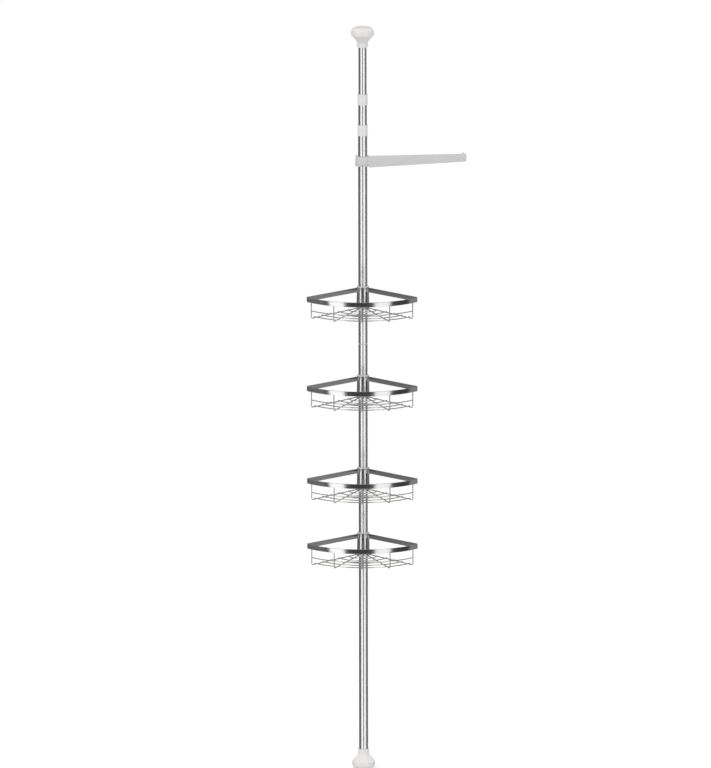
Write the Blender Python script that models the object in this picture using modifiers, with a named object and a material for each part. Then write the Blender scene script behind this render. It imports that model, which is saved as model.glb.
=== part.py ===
"""Tension-pole corner shower caddy: a telescoping pole, four wire baskets and a towel bar.

Units are metres. +Z is up, the pole's axis is the Z axis, and Z = 0 is the floor under the foot's rubber pad.
The baskets open towards -Y and the towel bar points towards +X.
"""
import math

import bmesh
import bpy

# ---------------------------------------------------------------- driving dimensions
TOTAL_HEIGHT = 2.080
FIT_GAP = 0.0003
ROUND_STEPS = 24

# Pole: three tubes of one size at the bottom, then two that telescope.
MAST_RADIUS = 0.0127
TUBE_WALL = 0.0004
MAST_JOINT_HEIGHTS = (0.607, 1.194)
JOINT_COLLAR = 0.002
JOINT_INSERT = 0.040
JOINT_WALL = 0.002

# White rings where the tubes telescope, by the height of each ring's middle.
LOWER_RING_HEIGHT = 1.791
UPPER_RING_HEIGHT = 1.877
RING_LENGTH = 0.030
RING_WALL = 0.0010
RING_LIP = 0.004
RING_GRIP = 0.012
RING_CHAMFER = 0.0008
BUSH_SLOT = 0.0025

# What telescopes, and the spring that presses the pole against the ceiling.
SPRING_TUBE_HIDDEN = 0.408
UPPER_TUBE_HIDDEN = 0.330
PLUG_INSERT = 0.015
PLUG_FLANGE = 0.003
SPRING_SEAT_LENGTH = 0.014
SPRING_WIRE_RADIUS = 0.0009
SPRING_CLEARANCE = 0.0022
SPRING_TURNS = 11
SPRING_POINTS_PER_TURN = 10

# Flared feet, one on the floor and one on the ceiling.
FOOT_LENGTH = 0.057
FOOT_RADIUS = 0.0317
FOOT_END_RADIUS = 0.0180
FOOT_SHOULDER_TOP = 0.0160
FOOT_BAND_TOP = 0.0225
FOOT_FLARE_TOP = 0.0410
FOOT_NECK_WALL = 0.0022
FOOT_NECK_FILLET = (0.0013, 0.003)
FOOT_MOUTH_CHAMFER = 0.0005
FOOT_SHOULDER_STEPS = 4
FOOT_SOCKET_FLOOR = 0.016
PAD_RADIUS = 0.0160
PAD_THICKNESS = 0.0047
PAD_STANDS_PROUD = 0.0018
PAD_CHAMFER = 0.0008

# Wedge clips: two plastic halves round the pole, and a tapered sleeve that drops over them.
CLIP_WALL = 0.0020
CLIP_TAPER = 0.0014
CLIP_FLANGE_THICKNESS = 0.003
CLIP_SPLIT = 0.0012
CLIP_RISE = 0.002
SLEEVE_WALL = 0.0014

# Baskets, by the height of the middle of each rim, from the top one down.
BASKET_HEIGHTS = (1.347, 1.098, 0.8395, 0.657)
RIM_FRONT_DEPTH = 0.2345
RIM_FRONT_RADIUS = 0.185
RIM_CORNER_RADIUS = 0.009
RIM_BAND_HEIGHT = 0.013
RIM_BAND_THICKNESS = 0.003
ARM_ANGLE = math.radians(45)
FLOOR_DROP = 0.044
WIRE_RADIUS = 0.0015
WIRE_BEND_RADIUS = 0.005
WIRE_WELD_SINK = 0.00075
UPRIGHT_COUNT = 5
END_UPRIGHT_INSET = 0.0115
GUARD_WIRE_DROP = 0.024
FLOOR_ARC_FIRST = 0.014
FLOOR_ARC_PITCH = 0.032
FLOOR_ARC_COUNT = 5
FLOOR_ARC_OVERHANG = 0.002
SLEEVE_FOOT = 0.004

# Towel bar.
TOWEL_BAR_HEIGHT = 1.707
TOWEL_COLLAR_LENGTH = 0.023
TOWEL_COLLAR_WALL = 0.0042
TOWEL_ARM_REACH = 0.285
TOWEL_ARM_ROOT_HEIGHT = 0.0305
TOWEL_ARM_TIP_HEIGHT = 0.0200
TOWEL_ARM_RISE = 0.001
TOWEL_ARM_CLEARANCE = 0.001
TOWEL_ARM_THICKNESS = 0.012
TOWEL_ARM_SET_FORWARD = 0.010
TOWEL_ARM_START = 0.006
TOWEL_ARM_CORNER = 0.003
TOWEL_LUG_HEIGHT = 0.004
TOWEL_LUG_LENGTH = 0.005
TOWEL_LUG_FROM_TIP = 0.005
TOWEL_LUG_SLOPE = 0.001
CUT_PAST = 0.005
TOWEL_BAR_TURN = math.radians(7.2)

# ---------------------------------------------------------------- worked out from those
MAST_BORE = MAST_RADIUS - TUBE_WALL
SPRING_TUBE_RADIUS = MAST_BORE - FIT_GAP
SPRING_TUBE_BORE = SPRING_TUBE_RADIUS - TUBE_WALL
UPPER_TUBE_RADIUS = SPRING_TUBE_BORE - FIT_GAP
UPPER_TUBE_BORE = UPPER_TUBE_RADIUS - TUBE_WALL
RING_RADIUS = MAST_RADIUS + FIT_GAP + RING_WALL
BUSH_RADIUS = RING_RADIUS - RING_WALL - FIT_GAP
LOWER_RING_BOTTOM = LOWER_RING_HEIGHT - RING_LENGTH / 2
UPPER_RING_BOTTOM = UPPER_RING_HEIGHT - RING_LENGTH / 2
MAST_TOP = LOWER_RING_BOTTOM + RING_GRIP
SPRING_TUBE_TOP = UPPER_RING_BOTTOM + RING_GRIP
SPRING_TUBE_BOTTOM = MAST_TOP - SPRING_TUBE_HIDDEN
UPPER_TUBE_BOTTOM = SPRING_TUBE_TOP - UPPER_TUBE_HIDDEN
SPRING_SEAT_BOTTOM = MAST_JOINT_HEIGHTS[-1] + JOINT_INSERT + FIT_GAP
SPRING_BOTTOM = SPRING_SEAT_BOTTOM + SPRING_SEAT_LENGTH + FIT_GAP
SPRING_TOP = SPRING_TUBE_BOTTOM - PLUG_FLANGE - 2 * FIT_GAP
SPRING_COIL_RADIUS = MAST_BORE - SPRING_CLEARANCE - SPRING_WIRE_RADIUS
CLIP_BORE = MAST_RADIUS + FIT_GAP
CLIP_TOP_RADIUS = CLIP_BORE + CLIP_WALL
TOWEL_COLLAR_TOP_RADIUS = CLIP_TOP_RADIUS + FIT_GAP + TOWEL_COLLAR_WALL
TOWEL_COLLAR_FOOT_RADIUS = TOWEL_COLLAR_TOP_RADIUS + CLIP_TAPER
RIM_CENTRE = (0.0, RIM_FRONT_RADIUS - RIM_FRONT_DEPTH)
WIRE_WELD_OFFSET = 2 * WIRE_RADIUS - WIRE_WELD_SINK
UPRIGHT_ARC_RADIUS = RIM_FRONT_RADIUS - RIM_BAND_THICKNESS / 2 - WIRE_RADIUS - 2 * FIT_GAP
FLOOR_HEIGHT = -RIM_BAND_HEIGHT / 2 - FLOOR_DROP
SLEEVE_BOTTOM = FLOOR_HEIGHT - SLEEVE_FOOT
SLEEVE_LENGTH = RIM_BAND_HEIGHT / 2 - SLEEVE_BOTTOM

SOLIDS = bpy.data.collections.new("shower_caddy")
CUTTERS = bpy.data.collections.new("cutters")


# ---------------------------------------------------------------- scene and materials
def clear_scene():
    """Remove whatever the scene holds, and link the two collections that this model uses."""
    for old in list(bpy.data.objects):
        bpy.data.objects.remove(old, do_unlink=True)
    bpy.context.scene.collection.children.link(SOLIDS)
    bpy.context.scene.collection.children.link(CUTTERS)


def finish(name, colour, roughness, metallic):
    """Make one plain surface finish."""
    surface = bpy.data.materials.new(name)
    surface.use_nodes = True
    shader = surface.node_tree.nodes["Principled BSDF"]
    shader.inputs["Base Color"].default_value = (*colour, 1.0)
    shader.inputs["Roughness"].default_value = roughness
    shader.inputs["Metallic"].default_value = metallic
    return surface


def make_finishes():
    """Give each kind of material in the caddy its finish."""
    return {
        "steel": finish("polished_steel", (0.62, 0.62, 0.63), 0.14, 1.0),
        "chrome": finish("chromed_steel", (0.60, 0.60, 0.61), 0.10, 1.0),
        "white": finish("white_plastic", (0.80, 0.80, 0.79), 0.35, 0.0),
        "grey": finish("light_grey_plastic", (0.62, 0.62, 0.61), 0.40, 0.0),
        "nylon": finish("natural_nylon", (0.72, 0.71, 0.67), 0.50, 0.0),
        "rubber": finish("grey_rubber", (0.72, 0.72, 0.71), 0.80, 0.0),
        "spring": finish("spring_wire", (0.45, 0.45, 0.46), 0.30, 1.0),
    }


# ---------------------------------------------------------------- modelling helpers
def add_object(name, data, collection=SOLIDS):
    """Put mesh or curve data into the scene as a named object."""
    piece = bpy.data.objects.new(name, data)
    collection.objects.link(piece)
    return piece


def give(piece, surface, height):
    """Set a finished piece's material and its height on the pole."""
    piece.data.materials.clear()
    piece.data.materials.append(surface)
    piece.location.z = height
    return piece


def turned(name, profile, closed):
    """Turn (radius, height) points about Z. They run down the outer side, and back up a bore if closed."""
    shape = bmesh.new()
    points = [shape.verts.new((radius, 0.0, height)) for radius, height in profile]
    for first, second in zip(points, points[1:]):
        shape.edges.new((first, second))
    if closed:
        shape.edges.new((points[-1], points[0]))
    mesh = bpy.data.meshes.new(name)
    shape.to_mesh(mesh)
    shape.free()
    piece = add_object(name, mesh)
    screw = piece.modifiers.new("turn", "SCREW")
    screw.steps = ROUND_STEPS
    screw.render_steps = ROUND_STEPS
    screw.use_merge_vertices = True
    screw.merge_threshold = 0.00001
    screw.use_smooth_shade = True
    return piece


def ring(name, outer, bore, bottom, top):
    """Make a plain tube or washer."""
    return turned(name, [(outer, top), (outer, bottom), (bore, bottom), (bore, top)], closed=True)


def bake(piece):
    """Swap a piece's curve or modifiers for the one welded mesh that they make."""
    bpy.context.view_layer.update()
    evaluated = piece.evaluated_get(bpy.context.evaluated_depsgraph_get())
    mesh = bpy.data.meshes.new_from_object(evaluated)
    shape = bmesh.new()
    shape.from_mesh(mesh)
    bmesh.ops.remove_doubles(shape, verts=shape.verts, dist=0.000002)
    shape.to_mesh(mesh)
    shape.free()
    name = piece.name
    place = piece.matrix_world.copy()
    bpy.data.objects.remove(piece, do_unlink=True)
    baked = add_object(name, mesh)
    baked.matrix_world = place
    return baked


def as_cutter(piece):
    """Move a piece to the cutters' collection and hide it from the finished model."""
    for home in list(piece.users_collection):
        home.objects.unlink(piece)
    CUTTERS.objects.link(piece)
    piece.display_type = "WIRE"
    piece.hide_render = True
    return piece


def boolean(piece, cutters, operation):
    """Cut or join a piece with others, bake the result and remove the others."""
    for cutter in cutters:
        as_cutter(cutter)
    step = piece.modifiers.new("combine", "BOOLEAN")
    step.solver = "EXACT"
    step.operation = operation
    step.operand_type = "COLLECTION"
    step.collection = CUTTERS
    baked = bake(piece)
    for cutter in cutters:
        bpy.data.objects.remove(cutter, do_unlink=True)
    return baked


def block(name, low, high):
    """Make a box between two corners."""
    mesh = bpy.data.meshes.new(name)
    shape = bmesh.new()
    bmesh.ops.create_cube(shape, size=1.0)
    for corner in shape.verts:
        corner.co = [low[axis] if corner.co[axis] < 0 else high[axis] for axis in range(3)]
    shape.to_mesh(mesh)
    shape.free()
    return add_object(name, mesh)


def rod(name, points, radius, rounding=1):
    """Make a wire along a line of points, as one closed tube."""
    curve = bpy.data.curves.new(name, "CURVE")
    curve.dimensions = "3D"
    curve.bevel_depth = radius
    curve.bevel_resolution = rounding
    curve.render_resolution_u = 0
    curve.use_fill_caps = True
    spline = curve.splines.new("POLY")
    spline.points.add(len(points) - 1)
    for knot, place in zip(spline.points, points):
        knot.co = (*place, 1.0)
    return bake(add_object(name, curve))


def plate(name, outline, thickness):
    """Make a flat plate from a closed outline in X and Y, centred on Z = 0."""
    curve = bpy.data.curves.new(name, "CURVE")
    curve.dimensions = "2D"
    curve.fill_mode = "BOTH"
    curve.extrude = thickness / 2
    curve.render_resolution_u = 0
    spline = curve.splines.new("POLY")
    spline.points.add(len(outline) - 1)
    for knot, place in zip(spline.points, outline):
        knot.co = (place[0], place[1], 0.0, 1.0)
    spline.use_cyclic_u = True
    return bake(add_object(name, curve))


def arc(centre, radius, start, end, pieces):
    """List points along an arc. Angles are in radians from +X."""
    points = []
    for step in range(pieces + 1):
        angle = start + (end - start) * step / pieces
        points.append((centre[0] + radius * math.cos(angle), centre[1] + radius * math.sin(angle)))
    return points


def copies(source, names_and_heights):
    """Place one object for each name, sharing the source's mesh, and remove the source."""
    placed = []
    for name, height in names_and_heights:
        copy = add_object(name, source.data)
        copy.location.z = height
        copy.rotation_euler = source.rotation_euler
        placed.append(copy)
    bpy.data.objects.remove(source, do_unlink=True)
    return placed


# ---------------------------------------------------------------- feet and pads
def foot_profile(tube_radius):
    """Outline of a flared foot that stands on Z = 0, with a blind socket above and a pad recess below."""
    socket = tube_radius + FIT_GAP
    neck = MAST_RADIUS + FOOT_NECK_WALL
    recess = PAD_RADIUS + FIT_GAP
    recess_top = PAD_THICKNESS + FIT_GAP
    base = PAD_STANDS_PROUD
    shoulder_width = FOOT_RADIUS - FOOT_END_RADIUS
    shoulder_height = FOOT_SHOULDER_TOP - base
    fillet_width, fillet_height = FOOT_NECK_FILLET
    shoulder = []
    for step in range(FOOT_SHOULDER_STEPS + 1):
        turn = math.radians(90) * step / FOOT_SHOULDER_STEPS
        radius = FOOT_END_RADIUS + shoulder_width * math.cos(turn)
        shoulder.append((radius, FOOT_SHOULDER_TOP - shoulder_height * math.sin(turn)))
    return [
        (0.0, FOOT_SOCKET_FLOOR), (socket, FOOT_SOCKET_FLOOR), (socket, FOOT_LENGTH),
        (neck - FOOT_MOUTH_CHAMFER, FOOT_LENGTH), (neck, FOOT_LENGTH - FOOT_MOUTH_CHAMFER),
        (neck, FOOT_FLARE_TOP + fillet_height), (neck + fillet_width, FOOT_FLARE_TOP),
        (FOOT_RADIUS, FOOT_BAND_TOP), *shoulder,
        (recess, base), (recess, recess_top), (0.0, recess_top),
    ]


def pad_profile():
    """Outline of a rubber pad with a small chamfer where it meets the floor."""
    return [
        (0.0, PAD_THICKNESS), (PAD_RADIUS, PAD_THICKNESS), (PAD_RADIUS, PAD_CHAMFER),
        (PAD_RADIUS - PAD_CHAMFER, 0.0), (0.0, 0.0),
    ]


def make_feet(finishes):
    """Make the floor foot and its pad, and the same pair upside down on the ceiling."""
    give(turned("floor_pad", pad_profile(), closed=False), finishes["rubber"], 0.0)
    give(turned("floor_foot", foot_profile(MAST_RADIUS), closed=False), finishes["white"], 0.0)
    ceiling_pad = give(turned("ceiling_pad", pad_profile(), closed=False), finishes["rubber"], TOTAL_HEIGHT)
    ceiling_foot = turned("ceiling_foot", foot_profile(UPPER_TUBE_RADIUS), closed=False)
    give(ceiling_foot, finishes["white"], TOTAL_HEIGHT)
    for upside_down in (ceiling_pad, ceiling_foot):
        upside_down.rotation_euler.x = math.pi


# ---------------------------------------------------------------- pole
def make_mast(finishes):
    """Make the three lower tubes and the two inner sleeves that join them end to end."""
    half_collar = JOINT_COLLAR / 2
    starts = [FOOT_SOCKET_FLOOR + FIT_GAP]
    starts += [height + half_collar + FIT_GAP for height in MAST_JOINT_HEIGHTS]
    ends = [height - half_collar - FIT_GAP for height in MAST_JOINT_HEIGHTS]
    ends += [MAST_TOP]
    for number, (start, end) in enumerate(zip(starts, ends), start=1):
        tube = ring(f"mast_tube_{number}", MAST_RADIUS, MAST_BORE, 0.0, end - start)
        give(tube, finishes["steel"], start)
    insert = MAST_BORE - FIT_GAP
    bore = insert - JOINT_WALL
    sleeve = [
        (insert, JOINT_INSERT), (insert, half_collar), (MAST_RADIUS, half_collar),
        (MAST_RADIUS, -half_collar), (insert, -half_collar), (insert, -JOINT_INSERT),
        (bore, -JOINT_INSERT), (bore, JOINT_INSERT),
    ]
    for number, height in enumerate(MAST_JOINT_HEIGHTS, start=1):
        give(turned(f"tube_joint_{number}", sleeve, closed=True), finishes["nylon"], height)


def cap_ring(name, lower_radius, upper_radius):
    """Make a ring that caps a tube's end, with room for a bush above it and a lip round the thinner tube."""
    outer = RING_RADIUS
    lower_bore = lower_radius + FIT_GAP
    bush_bore = BUSH_RADIUS + FIT_GAP
    lip_bore = upper_radius + FIT_GAP
    profile = [
        (outer - RING_CHAMFER, RING_LENGTH), (outer, RING_LENGTH - RING_CHAMFER),
        (outer, RING_CHAMFER), (outer - RING_CHAMFER, 0.0),
        (lower_bore, 0.0), (lower_bore, RING_GRIP), (bush_bore, RING_GRIP + FIT_GAP),
        (bush_bore, RING_LENGTH - RING_LIP), (lip_bore, RING_LENGTH - RING_LIP), (lip_bore, RING_LENGTH),
    ]
    return turned(name, profile, closed=True)


def split_bush(name, bore):
    """Make the nylon bush that sits inside a cap ring, cut through on its -Y side so that it can grip."""
    length = RING_LENGTH - RING_LIP - RING_GRIP - 3 * FIT_GAP
    bush = ring(name, BUSH_RADIUS, bore, 0.0, length)
    slot = block("slot", (-BUSH_SLOT / 2, -2 * BUSH_RADIUS, -length), (BUSH_SLOT / 2, 0.0, 2 * length))
    return boolean(bush, [slot], "DIFFERENCE")


def make_rings(finishes):
    """Make the fixed ring at the top of the mast and the twist ring that locks the telescope."""
    bush_rise = RING_GRIP + 2 * FIT_GAP
    end_ring = cap_ring("end_ring", MAST_RADIUS, SPRING_TUBE_RADIUS)
    give(end_ring, finishes["white"], LOWER_RING_BOTTOM)
    end_bush = split_bush("end_bush", SPRING_TUBE_RADIUS + FIT_GAP)
    give(end_bush, finishes["nylon"], LOWER_RING_BOTTOM + bush_rise)
    lock_ring = cap_ring("lock_ring", SPRING_TUBE_RADIUS, UPPER_TUBE_RADIUS)
    give(lock_ring, finishes["white"], UPPER_RING_BOTTOM)
    collet = split_bush("lock_collet", UPPER_TUBE_RADIUS + FIT_GAP)
    give(collet, finishes["nylon"], UPPER_RING_BOTTOM + bush_rise)


def end_plug(name, tube_radius, tube_bore):
    """Make a plug for a tube's lower end, with the tube's end at Z = 0."""
    insert = tube_bore - FIT_GAP
    top = -FIT_GAP
    bottom = top - PLUG_FLANGE
    profile = [
        (0.0, PLUG_INSERT), (insert, PLUG_INSERT), (insert, top), (tube_radius, top),
        (tube_radius, bottom), (0.0, bottom),
    ]
    return turned(name, profile, closed=False)


def make_telescope(finishes):
    """Make the sprung tube, the upper tube that slides in it, and the plug in the lower end of each."""
    sprung_length = SPRING_TUBE_TOP - SPRING_TUBE_BOTTOM
    sprung = ring("spring_tube", SPRING_TUBE_RADIUS, SPRING_TUBE_BORE, 0.0, sprung_length)
    give(sprung, finishes["steel"], SPRING_TUBE_BOTTOM)
    plug = end_plug("spring_tube_plug", SPRING_TUBE_RADIUS, SPRING_TUBE_BORE)
    give(plug, finishes["nylon"], SPRING_TUBE_BOTTOM)
    upper_length = TOTAL_HEIGHT - FOOT_SOCKET_FLOOR - FIT_GAP - UPPER_TUBE_BOTTOM
    upper = ring("upper_tube", UPPER_TUBE_RADIUS, UPPER_TUBE_BORE, 0.0, upper_length)
    give(upper, finishes["steel"], UPPER_TUBE_BOTTOM)
    plug = end_plug("upper_tube_plug", UPPER_TUBE_RADIUS, UPPER_TUBE_BORE)
    give(plug, finishes["nylon"], UPPER_TUBE_BOTTOM)


def make_spring(finishes):
    """Make the compression spring and the seat under it."""
    outer = MAST_BORE - FIT_GAP
    seat = turned(
        "spring_seat",
        [(0.0, SPRING_SEAT_LENGTH), (outer, SPRING_SEAT_LENGTH), (outer, 0.0), (0.0, 0.0)],
        closed=False,
    )
    give(seat, finishes["nylon"], SPRING_SEAT_BOTTOM)
    rise = SPRING_TOP - SPRING_BOTTOM - 2 * SPRING_WIRE_RADIUS
    count = SPRING_TURNS * SPRING_POINTS_PER_TURN
    helix = []
    for step in range(count + 1):
        angle = math.tau * step / SPRING_POINTS_PER_TURN
        height = SPRING_WIRE_RADIUS + rise * step / count
        helix.append((SPRING_COIL_RADIUS * math.cos(angle), SPRING_COIL_RADIUS * math.sin(angle), height))
    give(rod("tension_spring", helix, SPRING_WIRE_RADIUS, rounding=0), finishes["spring"], SPRING_BOTTOM)


# ---------------------------------------------------------------- wedge clips
def make_clip_pair(prefix, places, length, flange_radius, surface):
    """Make the two halves of a wedge clip for each (name, height). The flange's underside is at Z = 0."""
    body_bottom = CLIP_TOP_RADIUS + CLIP_TAPER
    flange = CLIP_FLANGE_THICKNESS
    profile = [
        (CLIP_TOP_RADIUS, length), (body_bottom, flange), (flange_radius, flange), (flange_radius, 0.0),
        (CLIP_BORE, 0.0), (CLIP_BORE, length),
    ]
    for side, sign in (("left", -1), ("right", 1)):
        clip = turned(f"{prefix}_{side}", profile, closed=True)
        near = sign * CLIP_SPLIT / 2
        far = sign * 2 * flange_radius
        low = (min(near, far), -2 * flange_radius, -length)
        high = (max(near, far), 2 * flange_radius, 2 * length)
        half = boolean(clip, [block("half", low, high)], "INTERSECT")
        give(half, surface, 0.0)
        copies(half, [(f"{name}_clip_{side}", height) for name, height in places])


def sleeve_radius(rise):
    """Inner radius of a basket's tapered sleeve at a height above the sleeve's lower end."""
    clip_length = SLEEVE_LENGTH + CLIP_RISE
    return CLIP_TOP_RADIUS + FIT_GAP + CLIP_TAPER * (1 - rise / clip_length)


# ---------------------------------------------------------------- baskets
def basket_places():
    """Pair each basket's name with the height of its rim."""
    return [(f"basket_{number}", height) for number, height in enumerate(BASKET_HEIGHTS, start=1)]


def make_basket_clips(finishes):
    """Make the wedge clips that the four baskets drop onto."""
    drop = SLEEVE_BOTTOM - FIT_GAP - CLIP_FLANGE_THICKNESS
    places = [(name, height + drop) for name, height in basket_places()]
    flange = sleeve_radius(0.0) + SLEEVE_WALL
    length = CLIP_FLANGE_THICKNESS + FIT_GAP + SLEEVE_LENGTH + CLIP_RISE
    make_clip_pair("clip", places, length, flange, finishes["white"])


def make_sleeves(finishes):
    """Make the tapered steel sleeve at the rear corner of each basket."""
    low = sleeve_radius(0.0)
    high = sleeve_radius(SLEEVE_LENGTH)
    top = SLEEVE_BOTTOM + SLEEVE_LENGTH
    sleeve = turned(
        "sleeve",
        [(high + SLEEVE_WALL, top), (low + SLEEVE_WALL, SLEEVE_BOTTOM), (low, SLEEVE_BOTTOM), (high, top)],
        closed=True,
    )
    give(bake(sleeve), finishes["chrome"], 0.0)
    copies(bpy.data.objects["sleeve"], [(f"{name}_sleeve", height) for name, height in basket_places()])


def corner_centre():
    """Centre of the small arc that joins a straight side of the rim, on the +X side, to its front arc."""
    along = (math.cos(ARM_ANGLE), -math.sin(ARM_ANGLE))
    outward = (math.sin(ARM_ANGLE), math.cos(ARM_ANGLE))
    shift = (RIM_CORNER_RADIUS * outward[0], RIM_CORNER_RADIUS * outward[1] + RIM_CENTRE[1])
    reach = along[1] * RIM_CENTRE[1]
    inside = (RIM_FRONT_RADIUS - RIM_CORNER_RADIUS) ** 2 - shift[0] ** 2 - shift[1] ** 2
    distance = reach + math.sqrt(reach ** 2 + inside)
    return (
        distance * along[0] - RIM_CORNER_RADIUS * outward[0],
        distance * along[1] - RIM_CORNER_RADIUS * outward[1],
    )


def rim_line(offset):
    """Points along the rim, moved outward by offset, from the sleeve round the front and back to it."""
    along = (math.cos(ARM_ANGLE), -math.sin(ARM_ANGLE))
    outward = (math.sin(ARM_ANGLE), math.cos(ARM_ANGLE))
    start = sleeve_radius(SLEEVE_LENGTH - RIM_BAND_HEIGHT) + SLEEVE_WALL + FIT_GAP
    corner = corner_centre()
    turn_from = math.pi / 2 - ARM_ANGLE
    turn_to = math.atan2(corner[1] - RIM_CENTRE[1], corner[0])
    line = [(start * along[0] + offset * outward[0], start * along[1] + offset * outward[1])]
    line += arc(corner, RIM_CORNER_RADIUS + offset, turn_from, turn_to, 4)
    front = arc(RIM_CENTRE, RIM_FRONT_RADIUS + offset, turn_to, -math.pi / 2, 8)
    line += front[1:]
    mirrored = [(-x, y) for x, y in reversed(line[:-1])]
    return line + mirrored


def make_rims(finishes):
    """Make the flat band that runs round the top of each basket."""
    half = RIM_BAND_THICKNESS / 2
    outline = rim_line(half) + list(reversed(rim_line(-half)))
    band = give(plate("rim", outline, RIM_BAND_HEIGHT), finishes["chrome"], 0.0)
    copies(band, [(f"{name}_rim", height) for name, height in basket_places()])


def end_upright_angle():
    """Angle about the rim's centre, from straight ahead, of the outermost uprights."""
    half_width = corner_centre()[0] + RIM_CORNER_RADIUS
    return math.asin((half_width - END_UPRIGHT_INSET) / UPRIGHT_ARC_RADIUS)


def upright_foot(angle):
    """Place of an upright on the front arc, as its distance and direction from the pole's axis."""
    x = UPRIGHT_ARC_RADIUS * math.sin(angle)
    y = RIM_CENTRE[1] - UPRIGHT_ARC_RADIUS * math.cos(angle)
    return math.hypot(x, y), math.atan2(y, x)


def upright_wire(angle):
    """Make a wire that drops from the rim, bends under the floor and runs back to the sleeve."""
    distance, direction = upright_foot(angle)
    bend = WIRE_BEND_RADIUS
    side = [(distance, RIM_BAND_HEIGHT / 2 - WIRE_RADIUS)]
    side += arc((distance - bend, FLOOR_HEIGHT + bend), bend, 0.0, -math.pi / 2, 3)
    side.append((sleeve_radius(0.0) + SLEEVE_WALL + FIT_GAP, FLOOR_HEIGHT))
    line = [(reach * math.cos(direction), reach * math.sin(direction), height) for reach, height in side]
    return rod("upright", line, WIRE_RADIUS)


def arc_wire(radius, half_angle, height, pieces):
    """Make a wire on an arc about the rim's centre, level and symmetric about the YZ plane."""
    line = arc(RIM_CENTRE, radius, -math.pi / 2 - half_angle, -math.pi / 2 + half_angle, pieces)
    return rod("arc", [(x, y, height) for x, y in line], WIRE_RADIUS)


def floor_arc_half_angle(radius):
    """Half the angle of a floor arc that ends just past the outermost floor wires."""
    direction = upright_foot(end_upright_angle())[1]
    toward = RIM_CENTRE[1] * math.sin(direction)
    reach = toward + math.sqrt(toward ** 2 + radius ** 2 - RIM_CENTRE[1] ** 2)
    crossing = math.asin(reach * math.cos(direction) / radius)
    return crossing + FLOOR_ARC_OVERHANG / radius


def make_wire_frames(finishes):
    """Make the wires of each basket: uprights, floor wires, floor arcs and the guard wire, welded in one."""
    end = end_upright_angle()
    spacing = 2 * end / (UPRIGHT_COUNT - 1)
    wires = [upright_wire(number * spacing - end) for number in range(UPRIGHT_COUNT)]
    guard_radius = UPRIGHT_ARC_RADIUS - WIRE_WELD_OFFSET
    guard_angle = end + FLOOR_ARC_OVERHANG / guard_radius
    guard_height = -RIM_BAND_HEIGHT / 2 - GUARD_WIRE_DROP
    wires.append(arc_wire(guard_radius, guard_angle, guard_height, 12))
    for number in range(FLOOR_ARC_COUNT):
        radius = UPRIGHT_ARC_RADIUS - FLOOR_ARC_FIRST - number * FLOOR_ARC_PITCH
        height = FLOOR_HEIGHT + WIRE_WELD_OFFSET
        wires.append(arc_wire(radius, floor_arc_half_angle(radius), height, 10 - number))
    frame = boolean(wires[0], wires[1:], "UNION")
    give(frame, finishes["chrome"], 0.0)
    copies(frame, [(f"{name}_wires", height) for name, height in basket_places()])


# ---------------------------------------------------------------- towel bar
def towel_arm_outline():
    """Side outline of the arm: level on top, with a stop lug, and rising underneath towards the tip."""
    top = TOWEL_COLLAR_LENGTH / 2 + TOWEL_ARM_RISE
    tip = TOWEL_ARM_REACH
    low = top - TOWEL_ARM_TIP_HEIGHT
    corner = TOWEL_ARM_CORNER
    lug_end = tip - TOWEL_LUG_FROM_TIP
    lug_start = lug_end - TOWEL_LUG_LENGTH
    outline = [(TOWEL_ARM_START, top - TOWEL_ARM_ROOT_HEIGHT)]
    outline += arc((tip - corner, low + corner), corner, -math.pi / 2, 0.0, 3)
    outline += arc((tip - corner, top - corner), corner, 0.0, math.pi / 2, 3)
    lug_top = top + TOWEL_LUG_HEIGHT
    outline += [(lug_end, top), (lug_end - TOWEL_LUG_SLOPE, lug_top)]
    outline += [(lug_start + TOWEL_LUG_SLOPE, lug_top), (lug_start, top), (TOWEL_ARM_START, top)]
    return outline


def make_towel_bar(finishes):
    """Make the towel bar, a collar and arm moulded in one, and the wedge clip that holds it."""
    half = TOWEL_COLLAR_LENGTH / 2
    clip_length = CLIP_FLANGE_THICKNESS + FIT_GAP + TOWEL_COLLAR_LENGTH
    clip_drop = TOWEL_BAR_HEIGHT - half - FIT_GAP - CLIP_FLANGE_THICKNESS
    flange = TOWEL_COLLAR_FOOT_RADIUS
    make_clip_pair("clip", [("towel", clip_drop)], clip_length, flange, finishes["grey"])
    collar = turned(
        "towel_bar",
        [(0.0, half), (TOWEL_COLLAR_TOP_RADIUS, half), (TOWEL_COLLAR_FOOT_RADIUS, -half), (0.0, -half)],
        closed=False,
    )
    arm = plate("arm", towel_arm_outline(), TOWEL_ARM_THICKNESS)
    arm.rotation_euler.x = math.pi / 2
    arm.location.y = -TOWEL_ARM_SET_FORWARD
    # The arm's root is deeper than the collar, so it is cut away round the clip's flange.
    clear = TOWEL_COLLAR_FOOT_RADIUS + TOWEL_ARM_CLEARANCE
    deep = TOWEL_ARM_ROOT_HEIGHT + CUT_PAST
    clearing = turned("clearing", [(0.0, -half), (clear, -half), (clear, -deep), (0.0, -deep)], closed=False)
    arm = boolean(arm, [clearing], "DIFFERENCE")
    bar = boolean(collar, [arm], "UNION")
    narrow = CLIP_TOP_RADIUS + FIT_GAP
    wide = narrow + CLIP_TAPER
    past = half + CUT_PAST
    bore = turned(
        "bore",
        [(0.0, past), (narrow, past), (narrow, half), (wide, -half), (wide, -past), (0.0, -past)],
        closed=False,
    )
    bar = boolean(bar, [bore], "DIFFERENCE")
    give(bar, finishes["grey"], TOWEL_BAR_HEIGHT)
    bar.rotation_euler.z = TOWEL_BAR_TURN


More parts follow.
